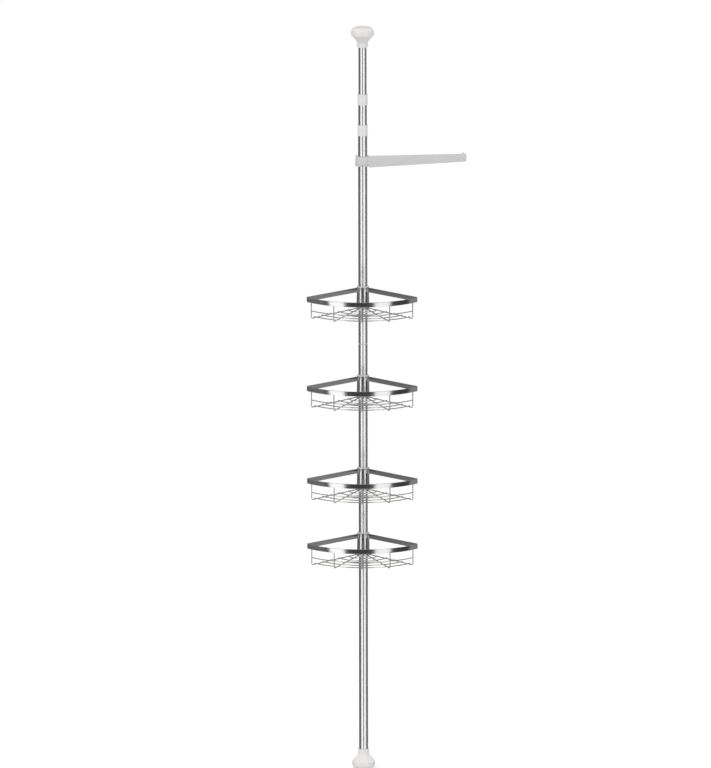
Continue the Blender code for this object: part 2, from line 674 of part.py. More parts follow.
def main():
    """Build the whole caddy."""
    clear_scene()
    finishes = make_finishes()
    make_feet(finishes)
    make_mast(finishes)
    make_rings(finishes)
    make_telescope(finishes)
    make_spring(finishes)
    make_basket_clips(finishes)
    make_sleeves(finishes)
    make_rims(finishes)
    make_wire_frames(finishes)
    make_towel_bar(finishes)


main()
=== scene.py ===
"""Finished pieces, materials and studio for a tension-pole shower caddy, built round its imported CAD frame.

Every length is in metres. +Z is up, the pole's axis is the Z axis, the baskets open towards -Y and the towel
bar points towards +X. Each finished piece stands where its CAD node is and moves with the same body.
"""

import math

import bmesh
import bpy
from bpy.props import FloatProperty, FloatVectorProperty, IntProperty, PointerProperty
from mathutils import Matrix, Vector


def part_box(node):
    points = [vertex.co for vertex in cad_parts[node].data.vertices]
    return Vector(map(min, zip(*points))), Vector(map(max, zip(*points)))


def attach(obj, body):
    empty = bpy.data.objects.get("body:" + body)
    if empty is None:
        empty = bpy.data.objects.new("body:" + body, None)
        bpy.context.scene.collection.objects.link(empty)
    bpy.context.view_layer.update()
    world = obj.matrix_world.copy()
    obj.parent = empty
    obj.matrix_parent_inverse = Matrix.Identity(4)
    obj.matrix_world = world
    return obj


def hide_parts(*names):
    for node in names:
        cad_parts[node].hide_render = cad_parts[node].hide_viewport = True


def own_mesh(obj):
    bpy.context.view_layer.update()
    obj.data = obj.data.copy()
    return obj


bl_info = {
    "name": "Tension-pole shower caddy",
    "version": (1, 0, 0),
    "blender": (4, 5, 0),
    "location": "3D View > Sidebar > Caddy",
    "description": "Builds the finished pieces of a corner shower caddy round its CAD frame",
    "category": "Add Mesh",
}

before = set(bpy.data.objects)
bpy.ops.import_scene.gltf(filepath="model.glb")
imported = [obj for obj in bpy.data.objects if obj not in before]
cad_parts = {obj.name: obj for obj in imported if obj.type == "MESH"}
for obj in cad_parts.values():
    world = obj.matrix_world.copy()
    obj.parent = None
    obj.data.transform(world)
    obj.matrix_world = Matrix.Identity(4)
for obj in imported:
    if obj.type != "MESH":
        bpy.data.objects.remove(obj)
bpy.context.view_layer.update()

# ---------------------------------------------------------------- sizes that the frame settles
TUBE_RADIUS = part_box("mast_tube_1")[1].x
SPRING_TUBE_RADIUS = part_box("spring_tube")[1].x
UPPER_TUBE_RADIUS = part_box("upper_tube")[1].x
RIM_LOW, RIM_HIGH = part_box("basket_1_rim")
WIRES_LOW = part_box("basket_1_wires")[0]
SLEEVE_LOW, SLEEVE_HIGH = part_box("basket_1_sleeve")
TOWEL_CLIP_LOW, TOWEL_CLIP_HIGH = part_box("towel_clip_right")
SPRING_LOW, SPRING_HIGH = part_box("tension_spring")
OBJECT_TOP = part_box("ceiling_pad")[1].z
BASKETS = ("basket_1", "basket_2", "basket_3", "basket_4")

# The pole's tubes, and the body that each moves with.
TUBES = {
    "mast_tube_1": "mast", "mast_tube_2": "mast", "mast_tube_3": "mast",
    "spring_tube": "spring_tube", "upper_tube": "upper_tube",
}
# The gap between pieces that fit closely.
FIT = 0.0003


def linear(code):
    """Turn an sRGB hex colour into linear red, green and blue."""
    channels = [int(code[start:start + 2], 16) / 255 for start in (1, 3, 5)]
    return [c / 12.92 if c <= 0.04045 else ((c + 0.055) / 1.055) ** 2.4 for c in channels]


# ---------------------------------------------------------------- what a user may change
def a_length(name, description, default):
    """A length that a user may change."""
    return FloatProperty(name=name, description=description, default=default, unit="LENGTH")


def an_angle(name, description, default):
    """An angle that a user may change. Its default is given in degrees."""
    return FloatProperty(name=name, description=description, default=math.radians(default), subtype="ANGLE")


def a_colour(name, description, default):
    """A colour that a user may change. Its default is given as an sRGB hex colour."""
    return FloatVectorProperty(
        name=name, description=description, default=linear(default), subtype="COLOR", size=3,
        min=0.0, max=1.0)


class CaddyColours(bpy.types.PropertyGroup):
    """Colours of the caddy's materials."""

    stainless: a_colour("Stainless steel", "Colour that the polished pole tubes reflect", "#CFCDCE")
    chrome: a_colour("Chrome plating", "Colour that the plated bands, wires and sleeves reflect", "#CDCDCE")
    white_plastic: a_colour("White polypropylene", "Colour of the feet, rings and basket clips", "#E6E4E3")
    grey_plastic: a_colour("Light grey ABS", "Colour of the towel bar and its clip", "#CDCDCD")
    nylon: a_colour("Natural nylon", "Colour of the bushes, plugs and inner sleeves", "#DEDACD")
    rubber: a_colour("Grey rubber", "Colour of the pads in the feet", "#DEDEDC")
    spring: a_colour("Spring wire", "Colour that the bare spring wire reflects", "#A6A7A9")
    floor: a_colour("Floor", "Colour of the studio floor", "#F4F4F2")


class PoleSizes(bpy.types.PropertyGroup):
    """Sizes of the tubes, rings and feet."""

    round_steps: IntProperty(
        name="Round steps", description="Flat steps round a turned piece", default=96, min=24, max=256)
    tube_wall: a_length("Tube wall", "Wall of every pole tube", 0.0004)
    edge: a_length("Moulded edge", "Radius on the edges of the plastic mouldings", 0.0006)
    ring_grip: a_length("Ring grip", "Length of tube that a cap ring covers", 0.012)
    ring_lip: a_length("Ring lip", "Thickness of a cap ring's lip", 0.004)
    ring_wall: a_length("Ring wall", "Wall of a cap ring", 0.0010)
    joint_collar: a_length("Joint collar", "Width of the collar between two lower tubes", 0.002)
    joint_wall: a_length("Joint wall", "Wall of the sleeve inside a tube joint", 0.002)
    foot_length: a_length("Foot length", "From a foot's pad to its mouth", 0.057)
    foot_end_radius: a_length("Foot end", "Radius of a foot's flat end", 0.0180)
    foot_shoulder: a_length("Foot shoulder", "Height where a foot's rounded end meets its band", 0.016)
    foot_band: a_length("Foot band", "Height of the top of a foot's widest band", 0.0225)
    foot_flare: a_length("Foot flare", "Height where a foot's flare meets its neck", 0.041)
    foot_neck: a_length("Foot neck", "Radius of a foot's neck round the tube", 0.0149)
    foot_socket: a_length("Foot socket floor", "Height of the floor of a foot's tube socket", 0.016)
    pad_recess: a_length("Pad recess", "Depth of the recess that holds a pad", 0.0050)
    groove: a_length("Pad groove", "Depth of the ring grooves in a pad", 0.0009)
    spring_wire: a_length("Spring wire", "Radius of the wire that the spring is coiled from", 0.0009)
    spring_turns: IntProperty(
        name="Spring turns", description="Turns of the spring, with its closed end turns", default=12,
        min=4, max=60)


class BasketSizes(bpy.types.PropertyGroup):
    """Sizes of one basket, its sleeve and its clip."""

    band_thickness: a_length("Band thickness", "Thickness of the flat band round a basket", 0.003)
    band_edge: a_length("Band edge", "Radius on the band's four edges", 0.0007)
    front_radius: a_length("Front radius", "Radius of a basket's curved front", 0.185)
    corner_radius: a_length("Corner radius", "Radius of a basket's two front corners", 0.009)
    side_angle: an_angle("Side angle", "Angle of each straight side behind the pole's X axis", 45)
    wire_radius: a_length("Wire radius", "Radius of the basket wires", 0.0015)
    wire_bend: a_length("Wire bend", "Radius of the bend at an upright's foot", 0.005)
    weld_sink: a_length("Weld sink", "How far crossed wires sink into each other", 0.00075)
    uprights: IntProperty(
        name="Uprights", description="Number of upright wires on a basket", default=5, min=2, max=15)
    end_upright_inset: a_length(
        "End upright inset", "From a basket's side to its outermost upright", 0.0115)
    guard_drop: a_length("Guard wire drop", "From the band's lower edge to the guard wire", 0.024)
    floor_first: a_length("First floor wire", "From the uprights to the first floor arc", 0.014)
    floor_pitch: a_length("Floor wire pitch", "Distance between floor arcs", 0.032)
    floor_arcs: IntProperty(
        name="Floor arcs", description="Number of curved floor wires", default=5, min=1, max=12)
    floor_overhang: a_length(
        "Floor overhang", "How far a floor arc passes the last wire that it crosses", 0.002)
    sleeve_wall: a_length("Sleeve wall", "Wall of the tapered sleeve", 0.0014)
    clip_split: a_length("Clip split", "Gap between the two halves of a clip", 0.0012)
    clip_flange: a_length("Clip flange", "Thickness of a clip's flange", 0.003)
    clip_wall: a_length("Clip wall", "Wall at a clip's thin upper end", 0.0020)
    clip_taper: a_length("Clip taper", "How much thicker a clip is at its lower end", 0.0014)


class TowelBarSizes(bpy.types.PropertyGroup):
    """Sizes of the towel bar."""

    turn: an_angle("Turn", "How far the bar is swung back from the X axis", 7.2)
    reach: a_length("Reach", "From the pole's axis to the arm's tip", 0.285)
    root_height: a_length("Root height", "Height of the arm beside the collar", 0.0305)
    tip_height: a_length("Tip height", "Height of the arm at its tip", 0.0200)
    rise: a_length("Rise", "How far the arm's top edge is above the collar's", 0.001)
    clearance: a_length("Clearance", "Gap between the arm's deep root and the clip's flange", 0.001)
    thickness: a_length("Arm thickness", "Thickness of the arm", 0.012)
    set_forward: a_length("Set forward", "How far the arm stands in front of the pole's axis", 0.010)
    edge: a_length("Arm edge", "Radius on the arm's long edges", 0.0014)
    corner: a_length("Tip corner", "Radius of the corners at the tip", 0.003)
    lug_height: a_length("Lug height", "Height of the stop lug", 0.004)
    lug_length: a_length("Lug length", "Length of the stop lug", 0.005)


class StageSizes(bpy.types.PropertyGroup):
    """Camera, floor and lights."""

    lens: FloatProperty(
        name="Lens", description="Focal length in millimetres", default=1500.0, min=1.0, max=5000.0)
    azimuth: an_angle(
        "Azimuth", "How far the camera stands round from the front towards the towel bar", 0.9)
    elevation: an_angle("Elevation", "Camera angle above the horizon", 11.1)
    roll: an_angle("Roll", "Camera roll", -0.1)
    view_height: a_length("View height", "Height that the camera takes in", 2.112)
    aim: FloatVectorProperty(
        name="Aim", description="Point that the camera looks at", subtype="XYZ", size=3,
        default=(-0.0207, 0.0, 1.0805), unit="LENGTH")
    floor_size: a_length("Floor size", "Width of the floor", 8.0)
    panel_distance: a_length("Panel distance", "From the pole to the light panels", 4.0)
    panel_height: a_length("Panel height", "Height of the light panels", 8.0)
    panel_glow: FloatProperty(
        name="Panel glow", description="Radiance of the brighter front light panel", default=1.6, min=0.0)
    sky_glow: FloatProperty(
        name="Sky glow", description="Extra radiance of the soft light straight overhead", default=0.14,
        min=0.0)
    key_glow: FloatProperty(
        name="Key glow", description="Brightness that the key light gives a white face turned to it",
        default=0.25, min=0.0)


class CaddySettings(bpy.types.PropertyGroup):
    """Everything that the caddy's operators read."""

    colours: PointerProperty(type=CaddyColours)
    pole: PointerProperty(type=PoleSizes)
    basket: PointerProperty(type=BasketSizes)
    towel_bar: PointerProperty(type=TowelBarSizes)
    stage: PointerProperty(type=StageSizes)


# ---------------------------------------------------------------- materials
# The span that nearly all of a noise pattern's values lie in, and how strongly its finer detail shows.
NOISE_SPAN = {"From Min": 0.3, "From Max": 0.7}
FINE_DETAIL = 0.55


def add_node(surface, kind, settings=None, inputs=None):
    """Add a node to a material or world, with its settings, and its inputs as values or links."""
    node = surface.node_tree.nodes.new(kind)
    for name, value in (settings or {}).items():
        setattr(node, name, value)
    fill_inputs(surface, node, inputs or {})
    return node


def fill_inputs(surface, node, inputs):
    """Set a node's inputs to values, or link them to outputs. A node given whole is its first output."""
    for name, value in inputs.items():
        if isinstance(value, bpy.types.Node):
            value = value.outputs[0]
        if isinstance(value, bpy.types.NodeSocket):
            surface.node_tree.links.new(value, node.inputs[name])
        else:
            node.inputs[name].default_value = value


def new_surface(name):
    """Make a material and return it with its shader and its object coordinates."""
    surface = bpy.data.materials.new(name)
    surface.use_nodes = True
    shader = surface.node_tree.nodes["Principled BSDF"]
    place = add_node(surface, "ShaderNodeTexCoord").outputs["Object"]
    return surface, shader, place


def per_mm(size):
    """Texture scale whose features are about this many millimetres across."""
    return 1000.0 / size


def mottled(surface, pattern, colour, darker):
    """Colour with patches, where a pattern is low, that have the share darker of its brightness."""
    share = add_node(surface, "ShaderNodeMapRange", inputs={**NOISE_SPAN, "Value": pattern})
    shade = [channel * darker for channel in colour]
    blend = add_node(surface, "ShaderNodeMix", settings={"data_type": "RGBA"}, inputs={
        "Factor": share, 6: (*shade, 1.0), 7: (*colour, 1.0)})
    return blend.outputs[2]


def polished_stainless_tube(colours):
    """Stainless steel tube, drawn and belt polished, which leaves a soft mirror with faint hoop lines."""
    surface, shader, place = new_surface("polished_stainless_tube")
    # Belt lines are about 0.1 mm apart. They are drawn 1 mm apart so that they show.
    hoops = add_node(surface, "ShaderNodeMapping", inputs={"Vector": place, "Scale": (0.04, 0.04, 1.0)})
    lines = add_node(surface, "ShaderNodeTexNoise", inputs={
        "Vector": hoops, "Scale": per_mm(1.0), "Detail": 3.0, "Roughness": FINE_DETAIL})
    # Cloudy patches about 30 mm across are what a polishing wheel leaves as it is moved along.
    clouds = add_node(surface, "ShaderNodeTexNoise", inputs={
        "Vector": place, "Scale": per_mm(30.0), "Detail": 2.0, "Roughness": FINE_DETAIL})
    lined = add_node(surface, "ShaderNodeMapRange", inputs={
        **NOISE_SPAN, "Value": lines, "To Min": 0.0, "To Max": 0.01})
    clouded = add_node(surface, "ShaderNodeMapRange", inputs={
        **NOISE_SPAN, "Value": clouds, "To Min": 0.195, "To Max": 0.21})
    fill_inputs(surface, shader, {
        "Base Color": mottled(surface, clouds, colours.stainless, 0.96),
        "Metallic": 1.0,
        "Roughness": add_node(
            surface, "ShaderNodeMath", settings={"operation": "ADD"}, inputs={0: lined, 1: clouded}),
        "Normal": add_node(surface, "ShaderNodeBump", inputs={
            "Height": lines, "Distance": 0.00002, "Strength": 0.01}),
    })
    return surface


def bright_chrome_plating(colours):
    """Nickel and chrome plated steel: a cool, dark mirror that follows the bar's slight waviness."""
    surface, shader, place = new_surface("bright_chrome_plating")
    # Cold rolled bar is wavy over about 18 mm, and plating keeps that.
    waves = add_node(surface, "ShaderNodeTexNoise", inputs={
        "Vector": place, "Scale": per_mm(18.0), "Detail": 1.0, "Roughness": FINE_DETAIL})
    # Water leaves a dull film in patches about 6 mm across.
    film = add_node(surface, "ShaderNodeTexNoise", inputs={
        "Vector": place, "Scale": per_mm(6.0), "Detail": 4.0, "Roughness": FINE_DETAIL})
    fill_inputs(surface, shader, {
        "Base Color": mottled(surface, film, colours.chrome, 0.95),
        "Metallic": 1.0,
        "Roughness": add_node(surface, "ShaderNodeMapRange", inputs={
            **NOISE_SPAN, "Value": film, "To Min": 0.15, "To Max": 0.19}),
        "Normal": add_node(surface, "ShaderNodeBump", inputs={
            "Height": waves, "Distance": 0.0002, "Strength": 0.2}),
    })
    return surface


def moulded_plastic(name, colour, index, roughness):
    """Injection moulded plastic with the fine grain that a spark-eroded mould gives it."""
    surface, shader, place = new_surface(name)
    # The mould's grain is about 0.1 mm. It is drawn at 0.7 mm so that it shows.
    grain = add_node(surface, "ShaderNodeTexNoise", inputs={
        "Vector": place, "Scale": per_mm(0.7), "Detail": 2.0, "Roughness": FINE_DETAIL})
    # Melt flow leaves clouds about 25 mm across.
    flow = add_node(surface, "ShaderNodeTexNoise", inputs={
        "Vector": place, "Scale": per_mm(25.0), "Detail": 3.0, "Roughness": FINE_DETAIL})
    fill_inputs(surface, shader, {
        "Base Color": mottled(surface, flow, colour, 0.97),
        "Metallic": 0.0,
        "IOR": index,
        "Roughness": add_node(surface, "ShaderNodeMapRange", inputs={
            **NOISE_SPAN, "Value": grain, "To Min": roughness - 0.04, "To Max": roughness + 0.04}),
        "Normal": add_node(surface, "ShaderNodeBump", inputs={
            "Height": grain, "Distance": 0.00003, "Strength": 0.12}),
    })
    return surface


def moulded_white_polypropylene(colours):
    """White polypropylene: a slightly waxy satin white."""
    return moulded_plastic("moulded_white_polypropylene", colours.white_plastic, index=1.49, roughness=0.40)


def moulded_grey_abs(colours):
    """Light grey ABS: a dry satin grey, a little duller than the white parts."""
    return moulded_plastic("moulded_grey_abs", colours.grey_plastic, index=1.53, roughness=0.46)


def moulded_natural_nylon(colours):
    """Unpigmented nylon: creamy and slightly glossy."""
    return moulded_plastic("moulded_natural_nylon", colours.nylon, index=1.53, roughness=0.36)


def moulded_grey_rubber(colours):
    """Grey rubber: matt, with dusty patches."""
    surface, shader, place = new_surface("moulded_grey_rubber")
    # Rubber blooms in patches about 3 mm across.
    bloom = add_node(surface, "ShaderNodeTexNoise", inputs={
        "Vector": place, "Scale": per_mm(3.0), "Detail": 5.0, "Roughness": FINE_DETAIL})
    fill_inputs(surface, shader, {
        "Base Color": mottled(surface, bloom, colours.rubber, 0.85),
        "Metallic": 0.0,
        "IOR": 1.52,
        "Roughness": add_node(surface, "ShaderNodeMapRange", inputs={
            **NOISE_SPAN, "Value": bloom, "To Min": 0.72, "To Max": 0.88}),
        "Normal": add_node(surface, "ShaderNodeBump", inputs={
            "Height": bloom, "Distance": 0.00005, "Strength": 0.3}),
    })
    return surface


def drawn_spring_wire(colours):
    """Hard drawn spring wire: dull grey with streaks from the drawing die."""
    surface, shader, place = new_surface("drawn_spring_wire")
    # Die streaks are about 0.3 mm wide. They are drawn at 1 mm so that they show.
    drawn = add_node(surface, "ShaderNodeMapping", inputs={"Vector": place, "Scale": (1.0, 1.0, 3.0)})
    streaks = add_node(surface, "ShaderNodeTexNoise", inputs={
        "Vector": drawn, "Scale": per_mm(1.0), "Detail": 3.0, "Roughness": FINE_DETAIL})
    fill_inputs(surface, shader, {
        "Base Color": mottled(surface, streaks, colours.spring, 0.8),
        "Metallic": 1.0,
        "Roughness": add_node(surface, "ShaderNodeMapRange", inputs={
            **NOISE_SPAN, "Value": streaks, "To Min": 0.28, "To Max": 0.42}),
    })
    return surface


def painted_floor(colours):
    """Matt painted studio floor: almost white, with a faint roller texture."""
    surface, shader, place = new_surface("painted_floor")
    # A roller leaves a texture about 2 mm across.
    roller = add_node(surface, "ShaderNodeTexNoise", inputs={
        "Vector": place, "Scale": per_mm(2.0), "Detail": 2.0, "Roughness": FINE_DETAIL})
    fill_inputs(surface, shader, {
        "Base Color": mottled(surface, roller, colours.floor, 0.985),
        "Metallic": 0.0,
        "Roughness": 0.8,
        "Emission Color": (1.0, 1.0, 1.0, 1.0),
        "Emission Strength": 0.17,
    })
    return surface


# Each finish by its material's name: what makes it, and the CAD material slot that it stands for.
FINISHES = {make.__name__: (make, slot) for make, slot in (
    (polished_stainless_tube, "polished_steel"),
    (bright_chrome_plating, "chromed_steel"),
    (moulded_white_polypropylene, "white_plastic"),
    (moulded_grey_abs, "light_grey_plastic"),
    (moulded_natural_nylon, "natural_nylon"),
    (moulded_grey_rubber, "grey_rubber"),
    (drawn_spring_wire, "spring_wire"),
    (painted_floor, None),
)}


def finish(context, name):
    """Return a finish's material, and make it the first time."""
    make = FINISHES[name][0]
    return bpy.data.materials.get(name) or make(context.scene.caddy.colours)


# ---------------------------------------------------------------- shape helpers
# Radii on small edges: a cut tube, a pad, a thin moulded wall, a sleeve and the towel bar's collar.
CUT_EDGE = 0.0002
PAD_EDGE = 0.0003
THIN_EDGE = 0.0004
SLEEVE_EDGE = 0.0005
COLLAR_EDGE = 0.0007
# A corner flatter than this isn't rounded, and a rounding takes at most this share of each side.
FLAT_CORNER = math.radians(165)
SIDE_SHARE = 0.45
# A wire's end is rounded over this share of its radius, down to that share of it.
WIRE_END_LENGTH = 0.3
WIRE_END_SHARE = 0.75


def arc(centre, radius, start, end, steps):
    """List points along an arc. Angles are in radians from the first axis."""
    angles = [start + (end - start) * step / steps for step in range(steps + 1)]
    return [(centre[0] + radius * math.cos(a), centre[1] + radius * math.sin(a)) for a in angles]


def curve(start, pull, end, steps):
    """List points along a curve from start to end that leaves and arrives in the direction of pull."""
    shares = [step / steps for step in range(steps + 1)]
    return [start * (1 - t) ** 2 + pull * (2 * t * (1 - t)) + end * t ** 2 for t in shares]


def eased(outline, radius, closed=True, steps=4):
    """Round the corners of an outline, by no more than its short sides allow."""
    points = [Vector(point) for point in outline]
    rounded = []
    for place, corner in enumerate(points):
        before = points[place - 1] - corner
        after = points[(place + 1) % len(points)] - corner
        is_end = not closed and place in (0, len(points) - 1)
        if is_end or before.angle(after) > FLAT_CORNER:
            rounded.append(corner)
            continue
        start = corner + before.normalized() * min(radius, before.length * SIDE_SHARE)
        end = corner + after.normalized() * min(radius, after.length * SIDE_SHARE)
        rounded += curve(start, corner, end, steps)
    return rounded


def skin(shape, first, second):
    """Join two rings of vertices with faces. A ring of one vertex makes a point."""
    count = max(len(first), len(second))
    for step in range(count):
        after = (step + 1) % count
        corners = [first[step % len(first)], first[after % len(first)]]
        corners += [second[after % len(second)], second[step % len(second)]]
        shape.faces.new(list(dict.fromkeys(corners)))


def skin_row(shape, rings, capped=True):
    """Join each ring of a row to the next, and close both ends if asked."""
    for first, second in zip(rings, rings[1:]):
        skin(shape, first, second)
    if capped:
        shape.faces.new(rings[0])
        shape.faces.new(rings[-1])


def turned(outline, steps, closed=True):
    """Turn an outline of (radius, height) points about Z. An open outline starts and ends on the axis."""
    shape = bmesh.new()
    angles = [math.tau * step / steps for step in range(steps)]
    rings = []
    for radius, height in outline:
        on_axis = [shape.verts.new((0.0, 0.0, height))] if radius < 1e-7 else None
        rings.append(on_axis or [
            shape.verts.new((radius * math.cos(a), radius * math.sin(a), height)) for a in angles])
    skin_row(shape, rings, capped=False)
    if closed:
        skin(shape, rings[-1], rings[0])
    return shape


def sweep_wire(shape, path, radius, side, steps=12):
    """Add a round wire with slightly rounded ends along a path that is flat or nearly so.

    side is square to the path's plane.
    """
    points = [Vector(point) for point in path]
    side = Vector(side).normalized()
    start = (points[0] - points[1]).normalized()
    end = (points[-1] - points[-2]).normalized()
    back = radius * WIRE_END_LENGTH
    stations = [(points[0], WIRE_END_SHARE), (points[0] - start * back, 1.0)]
    stations += [(point, 1.0) for point in points[1:-1]]
    stations += [(points[-1] - end * back, 1.0), (points[-1], WIRE_END_SHARE)]
    rings = []
    for place, (point, size) in enumerate(stations):
        before = stations[max(place - 1, 0)][0]
        after = stations[min(place + 1, len(stations) - 1)][0]
        out = (after - before).normalized().cross(side)
        rings.append([
            shape.verts.new(point + radius * size * (
                out * math.cos(math.tau * step / steps) + side * math.sin(math.tau * step / steps)))
            for step in range(steps)])
    skin_row(shape, rings)


def add_weld(shape, place, size, turn=0.0):
    """Add a weld nugget: a smooth bead with half axes size, turned about Z."""
    matrix = Matrix.Translation(place) @ Matrix.Rotation(turn, 4, "Z") @ Matrix.Diagonal((*size, 1.0))
    bmesh.ops.create_icosphere(shape, subdivisions=2, radius=1.0, matrix=matrix)


def stand(context, name, data):
    """Put a new object into the scene."""
    thing = bpy.data.objects.new(name, data)
    context.scene.collection.objects.link(thing)
    return thing


def solid(context, name, shape, look):
    """Turn a shape into an object with its finish."""
    mesh = bpy.data.meshes.new(name)
    shape.to_mesh(mesh)
    shape.free()
    mesh.materials.append(finish(context, look))
    return stand(context, name, mesh)


def put(context, name, shape, body, nodes, look, height=0.0, sharp=40.0):
    """Make a piece of a shape, give it its finish, and let it stand for CAD nodes on their body."""
    bmesh.ops.recalc_face_normals(shape, faces=shape.faces)
    piece = solid(context, name, shape, look)
    piece.data.polygons.foreach_set("use_smooth", [True] * len(piece.data.polygons))
    piece.data.set_sharp_from_angle(angle=math.radians(sharp))
    piece.location.z = height
    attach(piece, body)
    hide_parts(*nodes)
    return piece


# ---------------------------------------------------------------- pole
# A foot's flare runs this far up its neck, and its curve is pulled out and down from where they meet.
FLARE_LEAD = 0.003
FLARE_PULL_OUT = 0.0006
FLARE_PULL_DOWN = 0.0005
# A pad's chamfer, and its ring grooves: their places as shares of its radius, and their half widths.
PAD_CHAMFER = 0.0008
GROOVE_PLACES = (0.76, 0.52, 0.28)
GROOVE_MOUTH = 0.0009
GROOVE_FLOOR = 0.0004
# The gap between two closed turns of the spring.
COIL_GAP = 0.0001


class CADDY_OT_tubes(bpy.types.Operator):
    """Make the five pole tubes, each open at both ends with its cut edges eased."""

    bl_idname = "caddy.tubes"
    bl_label = "Pole tubes"

    def execute(self, context):
        sizes = context.scene.caddy.pole
        for node, body in TUBES.items():
            low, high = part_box(node)
            bore = high.x - sizes.tube_wall
            outline = [(high.x, high.z), (high.x, low.z), (bore, low.z), (bore, high.z)]
            shape = turned(eased(outline, CUT_EDGE), sizes.round_steps)
            put(context, f"{node}_polished", shape, body, [node], "polished_stainless_tube")
        return {"FINISHED"}


class CADDY_OT_tube_joints(bpy.types.Operator):
    """Make the two sleeves that join the lower tubes. Only their narrow collars show."""

    bl_idname = "caddy.tube_joints"
    bl_label = "Tube joints"

    def execute(self, context):
        sizes = context.scene.caddy.pole
        half = sizes.joint_collar / 2
        insert = TUBE_RADIUS - sizes.tube_wall - FIT
        bore = insert - sizes.joint_wall
        for node in ("tube_joint_1", "tube_joint_2"):
            low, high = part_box(node)
            middle = (low.z + high.z) / 2
            reach = (high.z - low.z) / 2
            outline = [
                (insert, reach), (insert, half), (TUBE_RADIUS, half), (TUBE_RADIUS, -half),
                (insert, -half), (insert, -reach), (bore, -reach), (bore, reach),
            ]
            shape = turned(eased(outline, THIN_EDGE), sizes.round_steps)
            put(context, f"{node}_moulding", shape, "mast", [node], "moulded_natural_nylon", middle)
        return {"FINISHED"}


class CADDY_OT_cap_rings(bpy.types.Operator):
    """Make the white rings where the tubes telescope, with their inner step and lip."""

    bl_idname = "caddy.cap_rings"
    bl_label = "Cap rings"

    def execute(self, context):
        sizes = context.scene.caddy.pole
        for node, body, lower, upper in (
            ("end_ring", "mast", TUBE_RADIUS, SPRING_TUBE_RADIUS),
            ("lock_ring", "lock_ring", SPRING_TUBE_RADIUS, UPPER_TUBE_RADIUS),
        ):
            low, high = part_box(node)
            outer = high.x
            bush = outer - sizes.ring_wall
            lip = high.z - sizes.ring_lip
            step = low.z + sizes.ring_grip
            outside = [(upper + FIT, high.z), (outer, high.z), (outer, low.z), (lower + FIT, low.z)]
            inside = [(lower + FIT, step), (bush, step + FIT), (bush, lip), (upper + FIT, lip)]
            shape = turned(eased(outside + inside, sizes.edge), sizes.round_steps)
            put(context, f"{node}_moulding", shape, body, [node], "moulded_white_polypropylene")
        return {"FINISHED"}


def hung(outline):
    """Turn an outline over, so that what stood on the floor hangs from the ceiling."""
    return [(radius, OBJECT_TOP - height) for radius, height in outline]


def foot_outline(sizes, tube_radius, foot_radius, proud):
    """Outline of a foot that stands on Z = 0, from the middle of its socket to the middle of its recess.

    Its flat end is proud above Z = 0, because the pad stands out of it by that much.
    """
    socket = tube_radius + FIT
    neck = sizes.foot_neck
    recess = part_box("floor_pad")[1].x + FIT
    end = sizes.foot_end_radius
    wide = foot_radius - end
    tall = sizes.foot_shoulder - proud
    steps = 24
    shoulder = []
    for step in range(steps + 1):
        turn = math.radians(90) * step / steps
        shoulder.append((end + wide * math.cos(turn), sizes.foot_shoulder - tall * math.sin(turn)))
    # The flare is a shallow hollow curve from the neck to the band.
    top = Vector((neck, sizes.foot_flare + FLARE_LEAD))
    pull = Vector((neck + FLARE_PULL_OUT, sizes.foot_flare - FLARE_PULL_DOWN))
    flare = curve(top, pull, Vector((foot_radius, sizes.foot_band)), steps=16)
    outline = [(0.0, sizes.foot_socket), (socket, sizes.foot_socket), (socket, sizes.foot_length)]
    outline += [(neck, sizes.foot_length), *flare, *shoulder]
    outline += [(recess, proud), (recess, sizes.pad_recess), (0.0, sizes.pad_recess)]
    return eased(outline, sizes.edge, closed=False)


class CADDY_OT_feet(bpy.types.Operator):
    """Make the flared foot on the floor and the one on the ceiling."""

    bl_idname = "caddy.feet"
    bl_label = "Feet"

    def execute(self, context):
        sizes = context.scene.caddy.pole
        low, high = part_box("floor_foot")
        outline = foot_outline(sizes, TUBE_RADIUS, high.x, low.z)
        shape = turned(outline, sizes.round_steps, closed=False)
        put(context, "floor_foot_moulding", shape, "mast", ["floor_foot"], "moulded_white_polypropylene")
        outline = foot_outline(sizes, UPPER_TUBE_RADIUS, high.x, low.z)
        shape = turned(hung(outline), sizes.round_steps, closed=False)
        put(context, "ceiling_foot_moulding", shape, "upper_tube", ["ceiling_foot"],
            "moulded_white_polypropylene")
        return {"FINISHED"}


def pad_outline(sizes):
    """Outline of a pad that lies on Z = 0, with three ring grooves in its face."""
    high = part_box("floor_pad")[1]
    radius, top = high.x, high.z
    outline = [(0.0, top), (radius, top), (radius, PAD_CHAMFER), (radius - PAD_CHAMFER, 0.0)]
    for middle in (radius * share for share in GROOVE_PLACES):
        outline += [(middle + GROOVE_MOUTH, 0.0), (middle + GROOVE_FLOOR, sizes.groove)]
        outline += [(middle - GROOVE_FLOOR, sizes.groove), (middle - GROOVE_MOUTH, 0.0)]
    return eased(outline + [(0.0, 0.0)], PAD_EDGE, closed=False)


class CADDY_OT_pads(bpy.types.Operator):
    """Make the rubber pads that grip the floor and the ceiling."""

    bl_idname = "caddy.pads"
    bl_label = "Pads"

    def execute(self, context):
        sizes = context.scene.caddy.pole
        outline = pad_outline(sizes)
        shape = turned(outline, sizes.round_steps, closed=False)
        put(context, "floor_pad_rubber", shape, "mast", ["floor_pad"], "moulded_grey_rubber")
        shape = turned(hung(outline), sizes.round_steps, closed=False)
        put(context, "ceiling_pad_rubber", shape, "upper_tube", ["ceiling_pad"], "moulded_grey_rubber")
        return {"FINISHED"}


